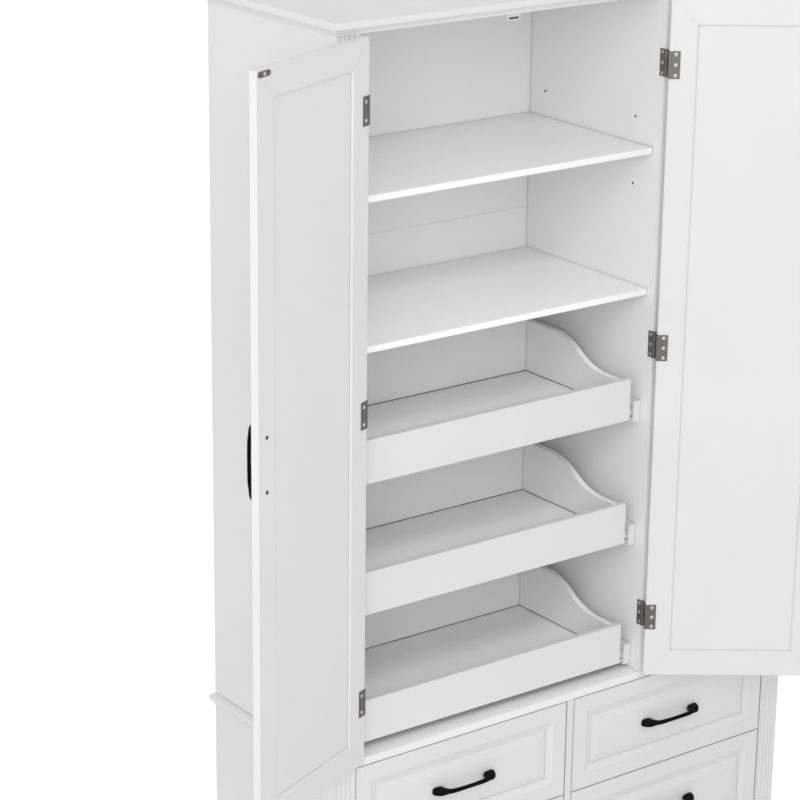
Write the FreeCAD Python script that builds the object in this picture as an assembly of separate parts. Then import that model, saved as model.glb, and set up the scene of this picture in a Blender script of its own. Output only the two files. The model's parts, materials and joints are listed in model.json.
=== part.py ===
import FreeCAD, Part
import math
import os

# A tall painted kitchen cabinet with fluted corner posts. Above the deck board a
# double bay with two doors holds three pull-out trays and two shelves, and a
# narrower bay beside it has a door of its own. Four drawers stand below the deck.
# Millimetres, +X to the right, +Y to the back, +Z up. The origin is on the floor
# in the middle of the footprint. Two doors are drawn open, every tray and drawer home.

os.makedirs("parts", exist_ok=True)

# Carcass
cabinet_width = 1120.0
base_height = 80.0
board_thickness = 15.0
upper_bay_height = 1339.0
top_thickness = 12.0
double_bay_width = 684.0
side_thickness = 15.0
liner_thickness = 12.0
partition_thickness = 16.0
base_rail_thickness = 15.0
back_thickness = 4.0
back_inset = 10.0
back_groove_depth = 6.0
back_play = 0.5
back_seam_rise = 862.0

# Fluted posts
post_width = 48.0
post_depth = 22.0
flute_count = 4
flute_pitch = 10.0
flute_radius = 5.0
flute_depth = 2.5

# Cap, crown moulding and waist mouldings
cap_thickness = 12.0
cap_overhang = 15.0
cap_round = 4.0
crown_root = 2.0
crown_cove = 8.0
crown_step = 1.0
crown_bead = 2.0
waist_root = 2.0
waist_cove = 12.0
waist_face = 10.0

# Shelves and their peg holes
shelf_thickness = 12.0
shelf_setback = 21.0
shelf_play = 1.0
fixed_shelf_rise = 767.0
peg_rise = 972.0
peg_pitch = 64.0
peg_rows = 3
peg_shelf_row = 1
peg_front = 73.5
peg_rear = 45.5
peg_hole_radius = 2.5
peg_hole_depth = 9.0
peg_radius = 2.4
peg_reach = 8.0
peg_collar_radius = 4.0
peg_collar_thickness = 0.8

# Doors
door_thickness = 15.0
door_border = 52.0
door_bevel = 3.0
door_floor_gap = 3.0
door_top_gap = 2.0
meeting_gap = 2.0
edge_ease = 1.2
panel_thickness = 6.0
panel_groove = 8.0
panel_tongue = 7.0
left_door_angle = 157.5
middle_door_angle = 144.0

# Hinges
pin_proud = 4.0
pin_outset = 1.0
pin_radius = 1.5
pin_play = 0.05
knuckle_radius = 3.0
knuckle_play = 0.3
leaf_thickness = 1.0
leaf_play = 0.5
leaf_height = 51.0
cabinet_leaf_width = 11.0
wrap_width = 20.0
hinge_margin = 126.0
hinge_middle_rise = 674.0

# Magnetic catch and strike plates
catch_width = 29.0
catch_depth = 25.0
catch_height = 15.0
catch_play = 0.5
magnet_width = 22.0
magnet_height = 4.0
magnet_depth = 10.0
magnet_lift = 1.5
strike_length = 36.0
strike_width = 10.0
strike_thickness = 1.0
strike_from_edge = 22.0
strike_from_top = 8.0

# Pulls
pull_length = 146.0
door_pull_from_edge = 25.0
door_pull_rise = 675.0
pull_proud = 24.0
pull_sag = 1.5
pull_bar_depth = 6.5
pull_foot_length = 28.0
pull_foot_width = 17.0
pull_bar_width = 8.0
pull_outer_bend = 11.0
pull_inner_bend = 5.0
pull_neck = 16.0
bend_out_share = 0.29
bend_up_share = 0.71
neck_dip_share = 0.55

# Side runners
runner_gap = 12.5
runner_steel = 1.2
roller_radius = 7.0
cabinet_roller_width = 7.4
box_roller_width = 7.8
roller_play = 0.3
roller_end = 10.0
flange_rise = 16.0
flange_play = 1.5
flange_side_play = 2.4
channel_side_play = 2.3
rail_foot = 9.0

# Pull-out trays
tray_length = 313.0
tray_setback = 22.0
tray_rear_room = 47.0
tray_first_rise = 18.0
tray_pitch = 252.0
tray_board_height = 83.0
tray_wall = 12.0
tray_wall_lift = 2.0
tray_low_height = 76.0
tray_high_height = 127.0
tray_curve_start = 66.0
tray_curve_run = 160.0
tray_bottom_thickness = 6.0
tray_floor_rise = 22.0
bottom_tongue = 5.0
bottom_play = 0.6
tray_spacer = 17.0
tray_spacer_height = 42.0
tray_spacer_drop = 8.0
tray_rail_setback = 4.0
tray_round = 1.5

# Drawers
drawer_front_height = 198.0
drawer_gap = 2.0
drawer_thickness = 15.0
drawer_border = 47.0
drawer_cove = 14.0
drawer_cove_depth = 4.0
drawer_cove_sag = 0.8
drawer_cove_land = 1.0
drawer_field_bevel = 18.0
drawer_field_depth = 1.5
divider_thickness = 16.0
drawer_rear_room = 32.0
drawer_box_height = 150.0
drawer_box_lift = 14.0
drawer_wall = 12.0
drawer_bottom_thickness = 6.0
drawer_bottom_lift = 10.0
drawer_rail_setback = 3.0

# The flats round a small repeated rod
rod_sides = 12
full_turn = 360.0

# Places that follow from the sizes
half = cabinet_width / 2
inner_depth = tray_setback + tray_length + tray_rear_room
side_depth = inner_depth + back_thickness + back_inset
front = -side_depth / 2
back = side_depth / 2
back_face = back - back_inset - back_thickness
opening = half - post_width
drawer_floor = base_height + board_thickness
deck_bottom = drawer_floor + 2 * drawer_front_height + 3 * drawer_gap
deck_top = deck_bottom + board_thickness
ceiling = deck_top + upper_bay_height
cap_bottom = ceiling + top_thickness
partition_left = -opening + double_bay_width
partition_right = partition_left + partition_thickness
meeting_x = (partition_left - opening) / 2
door_bottom = deck_top + door_floor_gap
door_height = ceiling - door_top_gap - door_bottom
hinge_gap = 2 * leaf_thickness + leaf_play
hinge_edge = pin_outset + hinge_gap
double_door_width = (double_bay_width - meeting_gap) / 2 - hinge_gap
single_door_width = opening - partition_right - meeting_gap - hinge_gap
tray_width = double_bay_width - 2 * (tray_spacer + runner_gap)
tray_front = front + tray_setback
drawer_box_length = inner_depth - drawer_thickness - drawer_rear_room
drawer_panel_depth = drawer_cove_depth + drawer_cove_land
overrun = 1.0


def save(node, solids):
    Part.makeCompound(solids).exportStep("parts/" + node + ".step")


def block(x0, x1, y0, y1, z0, z1):
    return Part.makeBox(x1 - x0, y1 - y0, z1 - z0, FreeCAD.Vector(x0, y0, z0))


def line(a, b):
    return Part.LineSegment(FreeCAD.Vector(*a), FreeCAD.Vector(*b)).toShape()


def arc(a, middle, b):
    return Part.Arc(FreeCAD.Vector(*a), FreeCAD.Vector(*middle), FreeCAD.Vector(*b)).toShape()


def prism(edges, travel):
    face = Part.Face(Part.Wire(edges))
    return face.extrude(FreeCAD.Vector(*travel))


def polygon(points):
    closed = points + points[:1]
    return [line(a, b) for a, b in zip(closed, closed[1:])]


def quarter(centre, start, end):
    # the point half way round a quarter circle, in the plane of its ends
    middle = []
    for c, a, b in zip(centre, start, end):
        middle.append(c + (a - c + b - c) * math.sqrt(0.5))
    return arc(start, middle, end)


def rod(radius, length, foot, along):
    # a small repeated round piece with flats, its corners on the given radius
    points = []
    for index in range(rod_sides):
        turn = math.radians(index * full_turn / rod_sides)
        points.append((radius * math.cos(turn), radius * math.sin(turn), 0))
    solid = prism(polygon(points), (0, 0, length))
    upright_axis = FreeCAD.Vector(0, 0, 1)
    solid.Placement = FreeCAD.Placement(foot, FreeCAD.Rotation(upright_axis, along))
    return solid


def mirrored(solids):
    return [s.mirror(FreeCAD.Vector(0, 0, 0), FreeCAD.Vector(1, 0, 0)) for s in solids]


def moved(solids, x, y, z):
    out = []
    for solid in solids:
        copy = solid.copy()
        copy.translate(FreeCAD.Vector(x, y, z))
        out.append(copy)
    return out


def turned(solids, axis, degrees):
    out = []
    for solid in solids:
        copy = solid.copy()
        copy.rotate(FreeCAD.Vector(0, 0, 0), FreeCAD.Vector(*axis), degrees)
        out.append(copy)
    return out


def peg_places():
    return [front + peg_front, back_face - peg_rear]


def peg_holes(x, direction):
    holes = []
    for y in peg_places():
        for row in range(peg_rows):
            centre = FreeCAD.Vector(x, y, deck_top + peg_rise + row * peg_pitch)
            along = FreeCAD.Vector(direction, 0, 0)
            holes.append(rod(peg_hole_radius, peg_hole_depth, centre, along))
    return Part.makeCompound(holes)


def side_panel():
    panel = block(-half, -half + side_thickness, front + post_depth, back, 0, cap_bottom)
    inner = -half + side_thickness
    groove = block(inner - back_groove_depth, inner, back_face, back_face + back_thickness,
                   base_height, cap_bottom)
    return panel.cut(groove)


def fluted_post():
    post = block(-half, -opening, front, front + post_depth, 0, cap_bottom)
    middle = -half + post_width / 2
    first = middle - flute_pitch * (flute_count - 1) / 2
    for index in range(flute_count):
        foot = FreeCAD.Vector(first + index * flute_pitch, front - flute_radius + flute_depth, 0)
        post = post.cut(Part.makeCylinder(flute_radius, cap_bottom, foot))
    return post


def liner(holes):
    panel = block(-opening - liner_thickness, -opening, front + post_depth, back_face, 0, ceiling)
    if holes:
        panel = panel.cut(peg_holes(-opening, -1))
    return panel


def top_panel():
    inner = half - side_thickness
    step = front + post_depth
    points = [(-opening, front, ceiling), (opening, front, ceiling), (opening, step, ceiling),
              (inner, step, ceiling), (inner, back_face, ceiling), (-inner, back_face, ceiling),
              (-inner, step, ceiling), (-opening, step, ceiling)]
    return prism(polygon(points), (0, 0, top_thickness))


def top_cap():
    reach = half + cap_overhang
    cap = block(-reach, reach, front - cap_overhang, back, cap_bottom, cap_bottom + cap_thickness)
    top = cap_bottom + cap_thickness
    rounded = []
    for edge in cap.Edges:
        box = edge.BoundBox
        if box.ZMin > top - overrun and box.YMin < back - overrun:
            rounded.append(edge)
    return cap.makeFillet(cap_round, rounded)


def crown_profile():
    # drawn on the left side: outwards is -X, down from the underside of the cap
    root = -half - crown_root
    bead = root - crown_cove - crown_step
    drop = cap_bottom - 2 * crown_bead
    foot = drop - crown_cove
    bead_out = (bead - crown_bead, back, cap_bottom - crown_bead)
    cove_top = (root - crown_cove, back, drop)
    cove_foot = (root, back, foot)
    return [line((-half, back, cap_bottom), (bead, back, cap_bottom)),
            arc((bead, back, cap_bottom), bead_out, (bead, back, drop)),
            line((bead, back, drop), cove_top),
            quarter((root - crown_cove, back, foot), cove_top, cove_foot),
            line(cove_foot, (-half, back, foot)),
            line((-half, back, foot), (-half, back, cap_bottom))]


def crown_moulding():
    path = Part.Wire([line((-half, back, cap_bottom), (-half, front, cap_bottom)),
                      line((-half, front, cap_bottom), (half, front, cap_bottom)),
                      line((half, front, cap_bottom), (half, back, cap_bottom))])
    return path.makePipeShell([Part.Wire(crown_profile())], True, False, 1)


def waist_moulding():
    root = -half - waist_root
    out = root - waist_cove
    drop = deck_top - waist_face
    foot = drop - waist_cove
    base = foot - waist_root
    edges = [line((-half, front, deck_top), (out, front, deck_top)),
             line((out, front, deck_top), (out, front, drop)),
             quarter((out, front, foot), (out, front, drop), (root, front, foot)),
             line((root, front, foot), (root, front, base)),
             line((root, front, base), (-half, front, base)),
             line((-half, front, base), (-half, front, deck_top))]
    return prism(edges, (0, side_depth, 0))


def shelf(top, play):
    return block(-opening + play, partition_left - play, front + shelf_setback, back_face - play,
                 top - shelf_thickness, top)


def shelf_peg(x, direction, y):
    z = deck_top + peg_rise + peg_shelf_row * peg_pitch
    along = FreeCAD.Vector(direction, 0, 0)
    sunk = FreeCAD.Vector(x - direction * peg_hole_depth, y, z)
    stem = rod(peg_radius, peg_hole_depth + peg_reach, sunk, along)
    collar = rod(peg_collar_radius, peg_collar_thickness, FreeCAD.Vector(x, y, z), along)
    return stem.fuse(collar)


def bevel_lip(border):
    return line((0, 0, border - door_bevel), (0, door_bevel, border))


def cove_lip(border):
    # a broad shallow hollow that falls from the face of the frame to the panel
    start = (0, 0, border - drawer_cove)
    hollow = (0, drawer_cove_depth / 2 + drawer_cove_sag, border - drawer_cove / 2)
    return arc(start, hollow, (0, drawer_cove_depth, border))


def frame_profile(border, thickness, lip, groove_front):
    # a cross-section: y through the thickness, z from the outer edge to the panel
    groove_back = groove_front + panel_thickness
    floor = border - panel_groove
    ease = edge_ease
    face_end, lip_foot = [tuple(vertex.Point) for vertex in lip.Vertexes]
    return [line((0, 0, ease), face_end),
            lip,
            line(lip_foot, (0, groove_front, border)),
            line((0, groove_front, border), (0, groove_front, floor)),
            line((0, groove_front, floor), (0, groove_back, floor)),
            line((0, groove_back, floor), (0, groove_back, border)),
            line((0, groove_back, border), (0, thickness - door_bevel, border)),
            line((0, thickness - door_bevel, border), (0, thickness, border - door_bevel)),
            line((0, thickness, border - door_bevel), (0, thickness, ease)),
            line((0, thickness, ease), (0, thickness - ease, 0)),
            line((0, thickness - ease, 0), (0, ease, 0)),
            line((0, ease, 0), (0, 0, ease))]


def frame_member(length, border, thickness, lip, groove_front):
    bar = prism(frame_profile(border, thickness, lip, groove_front), (length, 0, 0))
    mitre = prism(polygon([(0, 0, 0), (length, 0, 0), (length - border, 0, border),
                           (border, 0, border)]), (0, thickness, 0))
    return bar.common(mitre).Solids[0]


def mitred_frame(width, height, border, thickness, lip, groove_front):
    rail = frame_member(width, border, thickness, lip, groove_front)
    stile = frame_member(height, border, thickness, lip, groove_front)
    pair = [rail] + moved(turned([stile], (0, 1, 0), 90), 0, 0, height)
    other = moved(turned(pair, (0, 1, 0), 180), width, 0, height)
    return pair + other


def flat_panel(width, height, border, groove_front):
    inset = border - panel_tongue
    return block(inset, width - inset, groove_front, groove_front + panel_thickness,
                 inset, height - inset)


def rectangle(inset, width, height, y):
    points = [(inset, y, inset), (width - inset, y, inset), (width - inset, y, height - inset),
              (inset, y, height - inset)]
    return Part.Wire(polygon(points))


def raised_panel(width, height, border, groove_front):
    tongue = flat_panel(width, height, border, groove_front)
    wide = rectangle(border, width, height, groove_front)
    narrow = rectangle(border + drawer_field_bevel, width, height, drawer_field_depth)
    field = Part.makeLoft([wide, narrow], True, True)
    return tongue.fuse(field).removeSplitter()


def half_round(x, radius):
    # a half circle of flats in the XZ plane, bulging towards +X
    points = []
    for index in range(rod_sides // 2 + 1):
        turn = math.radians(index * full_turn / rod_sides) - math.pi / 2
        points.append((x + radius * math.cos(turn), 0, radius * math.sin(turn)))
    return points


def pull_side(reach):
    # the arched bar seen along its foot edges: x along the bar, -y away from the front
    shoulder = -(pull_proud - pull_sag)
    out = reach - pull_outer_bend
    foot = reach - pull_foot_length
    under = foot - pull_inner_bend
    belly = shoulder + pull_bar_depth
    crown = -pull_proud + pull_bar_depth
    outer_x = reach - pull_outer_bend * bend_out_share
    inner_x = foot - pull_inner_bend * bend_out_share
    return [arc((-reach, 0, 0), (-outer_x, shoulder * bend_up_share, 0), (-out, shoulder, 0)),
            arc((-out, shoulder, 0), (0, -pull_proud, 0), (out, shoulder, 0)),
            arc((out, shoulder, 0), (outer_x, shoulder * bend_up_share, 0), (reach, 0, 0)),
            line((reach, 0, 0), (foot, 0, 0)),
            arc((foot, 0, 0), (inner_x, belly * bend_up_share, 0), (under, belly, 0)),
            arc((under, belly, 0), (0, crown, 0), (-under, belly, 0)),
            arc((-under, belly, 0), (-inner_x, belly * bend_up_share, 0), (-foot, 0, 0)),
            line((-foot, 0, 0), (-reach, 0, 0))]


def pull_face(reach):
    # the same bar seen from the front: broad round feet and a slim grip between them
    wide = pull_foot_width / 2
    slim = pull_bar_width / 2
    shoulder = reach - wide
    neck = shoulder - pull_neck
    dip = slim + (wide - slim) * neck_dip_share
    waist = (shoulder + neck) / 2
    half_outline = [(neck, 0, -slim), (waist, 0, -dip)]
    half_outline += half_round(shoulder, wide)
    half_outline += [(waist, 0, dip), (neck, 0, slim)]
    return polygon(half_outline + [(-x, y, -z) for x, y, z in half_outline])


def pull():
    reach = pull_length / 2
    bar = prism(pull_side(reach), (0, 0, pull_foot_width))
    bar.translate(FreeCAD.Vector(0, 0, -pull_foot_width / 2))
    face = prism(pull_face(reach), (0, -pull_proud, 0))
    return bar.common(face).Solids[0]


def standing_rod(radius, z0, z1):
    return rod(radius, z1 - z0, FreeCAD.Vector(0, 0, z0), FreeCAD.Vector(0, 0, 1))


def knuckle_levels(z):
    bottom = z - leaf_height / 2
    third = leaf_height / 3
    return [bottom, bottom + third, bottom + 2 * third, bottom + leaf_height]


def cabinet_leaf(z):
    # flat on the side of the opening, its two outer knuckles fixed to the pin
    levels = knuckle_levels(z)
    low = levels[1] - knuckle_play
    high = levels[2] + knuckle_play
    inner = pin_outset + leaf_thickness
    leaf = block(pin_outset, inner, 0, pin_proud + cabinet_leaf_width, levels[0], levels[3])
    leaf = leaf.cut(block(0, inner, 0, knuckle_radius + knuckle_play, low, high))
    lower = standing_rod(knuckle_radius, levels[0], low)
    upper = standing_rod(knuckle_radius, high, levels[3])
    return leaf.fuse([lower, standing_rod(pin_radius, low, high), upper]).removeSplitter()


def door_leaf(z):
    # passes the edge of the door and wraps on to its back
    levels = knuckle_levels(z)
    near = hinge_edge - leaf_thickness
    behind = pin_proud + door_thickness
    leaf = block(near, hinge_edge, 0, behind + leaf_thickness, levels[0], levels[3])
    wrap = block(near, hinge_edge + wrap_width, behind, behind + leaf_thickness,
                 levels[0], levels[3])
    leaf = leaf.fuse(wrap)
    room = knuckle_radius + knuckle_play
    for low, high in ((levels[0], levels[1]), (levels[2], levels[3])):
        leaf = leaf.cut(block(0, hinge_edge, 0, room, low, high))
    barrel = standing_rod(knuckle_radius, levels[1], levels[2])
    # the flats of the bore stay clear of the pin's corners as the door turns
    bore_radius = (pin_radius + pin_play) / math.cos(math.pi / rod_sides)
    bore = standing_rod(bore_radius, levels[1], levels[2])
    return leaf.fuse(barrel).cut(bore).removeSplitter()


def hinge_heights():
    return [deck_top + hinge_margin, deck_top + hinge_middle_rise, ceiling - hinge_margin]


def strike_plate(width):
    # a flat oval plate on the back of the door, at its free top corner
    end = half_round((strike_length - strike_width) / 2, strike_width / 2)
    oval = prism(polygon(end + [(-x, y, -z) for x, y, z in end]), (0, strike_thickness, 0))
    return moved([oval], hinge_edge + width - strike_from_edge, pin_proud + door_thickness,
                 ceiling - door_top_gap - strike_from_top)[0]


def door_pieces(width):
    # shut, with the hinge pin on the Z axis and the door towards +X
    groove = (door_thickness - panel_thickness) / 2
    frame = mitred_frame(width, door_height, door_border, door_thickness,
                         bevel_lip(door_border), groove)
    panel = flat_panel(width, door_height, door_border, groove)
    grip = turned([pull()], (0, 1, 0), 90)
    leaves = [door_leaf(z) for z in hinge_heights()]
    return {
        "frame": moved(frame, hinge_edge, pin_proud, door_bottom),
        "panel": moved([panel], hinge_edge, pin_proud, door_bottom),
        "pull": moved(grip, hinge_edge + width - door_pull_from_edge, pin_proud,
                      deck_top + door_pull_rise),
        "hardware": leaves + [strike_plate(width)],
    }


def place_hinged(solids, pin_x, angle, right_hung):
    if right_hung:
        solids = turned(mirrored(solids), (0, 0, 1), angle)
    else:
        solids = turned(solids, (0, 0, 1), -angle)
    return moved(solids, pin_x, front - pin_proud, 0)


def save_door(name, width, pin_x, angle, right_hung):
    for piece, solids in door_pieces(width).items():
        save(name + "_" + piece, place_hinged(solids, pin_x, angle, right_hung))


def cabinet_rail(length, wall_bottom):
    # an open channel against a wall at x = 0, with a roller at its front end
    axis = wall_bottom + flange_rise - roller_play - roller_radius
    low = axis - roller_radius - roller_play
    high = wall_bottom + flange_rise + runner_steel + flange_play
    reach = runner_gap - channel_side_play
    steel = runner_steel
    points = [(0, 0, low - steel), (reach, 0, low - steel), (reach, 0, low), (steel, 0, low),
              (steel, 0, high), (reach, 0, high), (reach, 0, high + steel), (0, 0, high + steel)]
    channel = prism(polygon(points), (0, length, 0))
    hub = FreeCAD.Vector(steel, roller_end, axis)
    roller = rod(roller_radius, cabinet_roller_width, hub, FreeCAD.Vector(1, 0, 0))
    return [channel, roller]


def box_rail(length, wall_bottom):
    # an angle under and beside a box wall whose outer face is x = runner_gap
    steel = runner_steel
    top = wall_bottom + flange_rise + steel
    axis = wall_bottom + flange_rise - roller_play - roller_radius
    leg = runner_gap - steel
    points = [(flange_side_play, 0, top - steel), (leg, 0, top - steel),
              (leg, 0, wall_bottom - steel), (runner_gap + rail_foot, 0, wall_bottom - steel),
              (runner_gap + rail_foot, 0, wall_bottom), (runner_gap, 0, wall_bottom),
              (runner_gap, 0, top), (flange_side_play, 0, top)]
    angle = prism(polygon(points), (0, length, 0))
    hub = FreeCAD.Vector(leg, length - roller_end, axis)
    roller = rod(roller_radius, box_roller_width, hub, FreeCAD.Vector(-1, 0, 0))
    return [angle, roller]


def pair_between(solids, x_left, x_right):
    # the same pieces on the left wall and, mirrored, on the right wall
    return moved(solids, x_left, 0, 0) + moved(mirrored(solids), x_right, 0, 0)


def tray_side():
    # the low front of the wall rises to the back in an S of two tangent arcs
    y0 = tray_wall
    low = tray_low_height
    high = tray_high_height
    start = tray_curve_start
    end = start + tray_curve_run
    rise = high - low
    radius = (tray_curve_run ** 2 + rise ** 2) / (4 * rise)
    sweep = math.asin(tray_curve_run / 2 / radius) / 2
    along = radius * math.sin(sweep)
    up = radius - radius * math.cos(sweep)
    middle = (0, (start + end) / 2, (low + high) / 2)
    edges = [line((0, y0, tray_wall_lift), (0, y0, low)),
             line((0, y0, low), (0, start, low)),
             arc((0, start, low), (0, start + along, low + up), middle),
             arc(middle, (0, end - along, high - up), (0, end, high)),
             line((0, end, high), (0, tray_length, high)),
             line((0, tray_length, high), (0, tray_length, tray_wall_lift)),
             line((0, tray_length, tray_wall_lift), (0, y0, tray_wall_lift))]
    wall = prism(edges, (tray_wall, 0, 0))
    groove = block(tray_wall - bottom_tongue, tray_wall, y0, tray_length,
                   tray_floor_rise - tray_bottom_thickness, tray_floor_rise + bottom_play)
    return wall.cut(groove)


def tray_box():
    inner = tray_width / 2 - tray_wall
    left = moved([tray_side()], -tray_width / 2, 0, 0)
    foot = tray_floor_rise + bottom_play
    inner_front = block(-inner, inner, tray_wall, 2 * tray_wall, foot, tray_low_height)
    rear = block(-inner, inner, tray_length - tray_wall, tray_length, foot, tray_high_height)
    reach = inner + bottom_tongue
    bottom = block(-reach, reach, tray_wall, tray_length,
                   tray_floor_rise - tray_bottom_thickness, tray_floor_rise)
    return left + mirrored(left) + [inner_front, rear, bottom]


def tray_board():
    board = block(-tray_width / 2, tray_width / 2, 0, tray_wall, 0, tray_board_height)
    eased = [edge for edge in board.Edges if edge.BoundBox.YMax < tray_wall / 2]
    return board.makeFillet(tray_round, eased)


def tray_heights():
    return [("bottom", deck_top + tray_first_rise),
            ("middle", deck_top + tray_first_rise + tray_pitch),
            ("top", deck_top + tray_first_rise + 2 * tray_pitch)]


def save_trays():
    spacers = []
    for name, z in tray_heights():
        rails = moved(box_rail(tray_length - tray_wall - tray_rail_setback, tray_wall_lift),
                      -tray_width / 2 - runner_gap, tray_wall + tray_rail_setback, 0)
        node = "tray_" + name
        save(node + "_front", moved([tray_board()], meeting_x, tray_front, z))
        save(node + "_box", moved(tray_box(), meeting_x, tray_front, z))
        save(node + "_rails", moved(rails + mirrored(rails), meeting_x, tray_front, z))
        strip = block(-double_bay_width / 2, -double_bay_width / 2 + tray_spacer,
                      tray_front + tray_rail_setback, back_face,
                      z - tray_spacer_drop, z - tray_spacer_drop + tray_spacer_height)
        spacers += moved([strip] + mirrored([strip]), meeting_x, 0, 0)
    save("tray_spacers", spacers)


def drawer_columns():
    inner = divider_thickness / 2
    return [("left", -opening, -inner), ("right", inner, opening)]


def drawer_rows():
    low = drawer_floor + drawer_gap
    return [("lower", low), ("upper", low + drawer_front_height + drawer_gap)]


def drawer_front(width):
    frame = mitred_frame(width, drawer_front_height, drawer_border, drawer_thickness,
                         cove_lip(drawer_border), drawer_panel_depth)
    panel = raised_panel(width, drawer_front_height, drawer_border, drawer_panel_depth)
    return frame + [panel]


def drawer_box(width):
    # an open box behind the front, its walls tied together by a grooved-in bottom
    half_width = width / 2
    y0 = drawer_thickness
    y1 = y0 + drawer_box_length
    z0 = drawer_box_lift
    z1 = z0 + drawer_box_height
    floor = z0 + drawer_bottom_lift
    inner = half_width - drawer_wall
    groove = block(-inner - bottom_tongue, inner + bottom_tongue, y0, y1, floor,
                   floor + drawer_bottom_thickness)
    left = block(-half_width, -inner, y0, y1, z0, z1).cut(groove)
    face = block(-inner, inner, y0, y0 + drawer_wall, floor + drawer_bottom_thickness, z1)
    rear = block(-inner, inner, y1 - drawer_wall, y1, floor + drawer_bottom_thickness, z1)
    return [left] + mirrored([left]) + [face, rear, groove]


def save_drawers():
    for column, x0, x1 in drawer_columns():
        middle = (x0 + x1) / 2
        width = x1 - x0 - 2 * drawer_gap
        box_width = x1 - x0 - 2 * runner_gap
        rails = moved(box_rail(drawer_box_length - drawer_rail_setback, drawer_box_lift),
                      -box_width / 2 - runner_gap, drawer_thickness + drawer_rail_setback, 0)
        pieces = drawer_box(box_width) + rails + mirrored(rails)
        for row, z in drawer_rows():
            node = "drawer_" + row + "_" + column
            save(node + "_front", moved(drawer_front(width), x0 + drawer_gap, front, z))
            save(node + "_box", moved(pieces, middle, front, z))
            save(node + "_pull", moved([pull()], middle, front + drawer_field_depth,
                                       z + drawer_front_height / 2))


def save_cabinet_rails():
    solids = []
    run = tray_length - tray_wall + roller_end
    for name, z in tray_heights():
        rail = moved(cabinet_rail(run, z + tray_wall_lift), 0, tray_front + tray_rail_setback, 0)
        solids += pair_between(rail, -opening + tray_spacer, partition_left - tray_spacer)
    for column, x0, x1 in drawer_columns():
        for row, z in drawer_rows():
            y = front + drawer_thickness + drawer_rail_setback
            rail = moved(cabinet_rail(drawer_box_length, z + drawer_box_lift), 0, y, 0)
            solids += pair_between(rail, x0, x1)
    save("cabinet_rails", solids)


def save_hinges_and_catch():
    leaves = [cabinet_leaf(z) for z in hinge_heights()]
    left = place_hinged(leaves, -opening - pin_outset, 0, False)
    middle = place_hinged(leaves, partition_left + pin_outset, 0, True)
    right = place_hinged(leaves, opening + pin_outset, 0, True)
    save("cabinet_hinge_leaves", left + middle + right)
    y = front + door_thickness + strike_thickness + catch_play
    z = ceiling - catch_height
    housing = block(meeting_x - catch_width / 2, meeting_x + catch_width / 2, y, y + catch_depth,
                    z, ceiling)
    magnet = block(meeting_x - magnet_width / 2, meeting_x + magnet_width / 2, y,
                   y + magnet_depth, z + magnet_lift, z + magnet_lift + magnet_height)
    save("catch_housing", [housing.cut(magnet)])
    save("catch_magnet", [magnet])


def save_carcass():
    for node, solid in (("side_panel", side_panel()), ("post", fluted_post())):
        save(node + "_left", [solid])
        save(node + "_right", mirrored([solid]))
    save("side_liner_left", [liner(True)])
    save("side_liner_right", mirrored([liner(False)]))
    save("bottom_board", [block(-opening, opening, front, back_face, base_height, drawer_floor)])
    save("deck_board", [block(-opening, opening, front, back_face, deck_bottom, deck_top)])
    divider = divider_thickness / 2
    save("lower_divider", [block(-divider, divider, front, back_face, drawer_floor, deck_bottom)])
    wall = block(partition_left, partition_right, front, back_face, deck_top, ceiling)
    save("partition", [wall.cut(peg_holes(partition_left, 1))])
    save("top_panel", [top_panel()])
    save("top_cap", [top_cap()])
    save("crown_moulding", [crown_moulding()])
    side = [waist_moulding()]
    save("waist_mouldings", side + mirrored(side))
    rail = block(-opening, opening, front, front + base_rail_thickness, 0, base_height)
    save("base_rail", [rail])
    bearer = base_rail_thickness / 2
    inner = front + base_rail_thickness
    save("base_bearer", [block(-bearer, bearer, inner, -inner, 0, base_height)])
    edge = half - side_thickness + back_groove_depth - back_play
    seam = deck_top + back_seam_rise
    rear = back_face + back_thickness
    save("back_panel_lower", [block(-edge, edge, back_face, rear, base_height, seam)])
    save("back_panel_upper", [block(-edge, edge, back_face, rear, seam, cap_bottom)])


def save_shelves():
    save("fixed_shelf", [shelf(deck_top + fixed_shelf_rise + shelf_thickness, 0)])
    rest = deck_top + peg_rise + peg_shelf_row * peg_pitch + peg_radius
    save("adjustable_shelf", [shelf(rest + shelf_thickness, shelf_play)])
    pegs = []
    for y in peg_places():
        pegs.append(shelf_peg(-opening, 1, y))
        pegs.append(shelf_peg(partition_left, -1, y))
    save("shelf_pegs", pegs)


save_carcass()
save_shelves()
save_hinges_and_catch()
save_door("door_left", double_door_width, -opening - pin_outset, left_door_angle, False)
save_door("door_middle", double_door_width, partition_left + pin_outset, middle_door_angle, True)
save_door("door_right", single_door_width, opening + pin_outset, 0, True)
save_trays()
save_drawers()
save_cabinet_rails()
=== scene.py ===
import bpy
import json
import math
from mathutils import Euler, Matrix, Vector


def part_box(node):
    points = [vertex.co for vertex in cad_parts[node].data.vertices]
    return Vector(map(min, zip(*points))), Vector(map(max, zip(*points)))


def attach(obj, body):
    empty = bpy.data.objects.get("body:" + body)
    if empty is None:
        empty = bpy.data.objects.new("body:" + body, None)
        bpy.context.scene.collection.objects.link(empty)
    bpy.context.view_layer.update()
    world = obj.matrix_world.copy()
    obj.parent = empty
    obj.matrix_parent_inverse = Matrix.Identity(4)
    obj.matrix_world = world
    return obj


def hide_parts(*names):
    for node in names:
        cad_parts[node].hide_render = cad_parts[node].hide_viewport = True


# Tall painted kitchen cabinet. Metres, +Z up, the origin on the floor in the
# middle of the footprint. Every new piece sits at the origin with its place in
# its mesh.

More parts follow.
